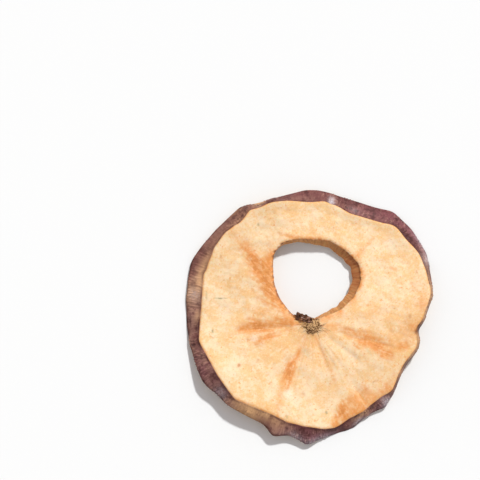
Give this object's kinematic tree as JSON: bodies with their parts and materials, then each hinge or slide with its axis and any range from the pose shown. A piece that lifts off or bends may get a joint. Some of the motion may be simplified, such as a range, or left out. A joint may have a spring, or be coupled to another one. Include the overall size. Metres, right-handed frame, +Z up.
{
  "type": "apple chip",
  "caption": "Dried apple ring: a thin warped cross slice with its skin left on round the rim and an off-centre hole where the core was cut out.",
  "frame": {"origin": "on the surface the slice rests on, below the middle of its bounding box", "axes": "+Z up through the slice's thickness, +Y towards the side the core hole is nearer to, +X right-handed"},
  "size_m": [0.0638, 0.0658, 0.006],
  "materials": {
    "dried_apple": "dry cream flesh, waxy purple-brown skin round the rim"
  },
  "bodies": {
    "root": {"apple_chip": "dried_apple"}
  },
  "joints": []
}
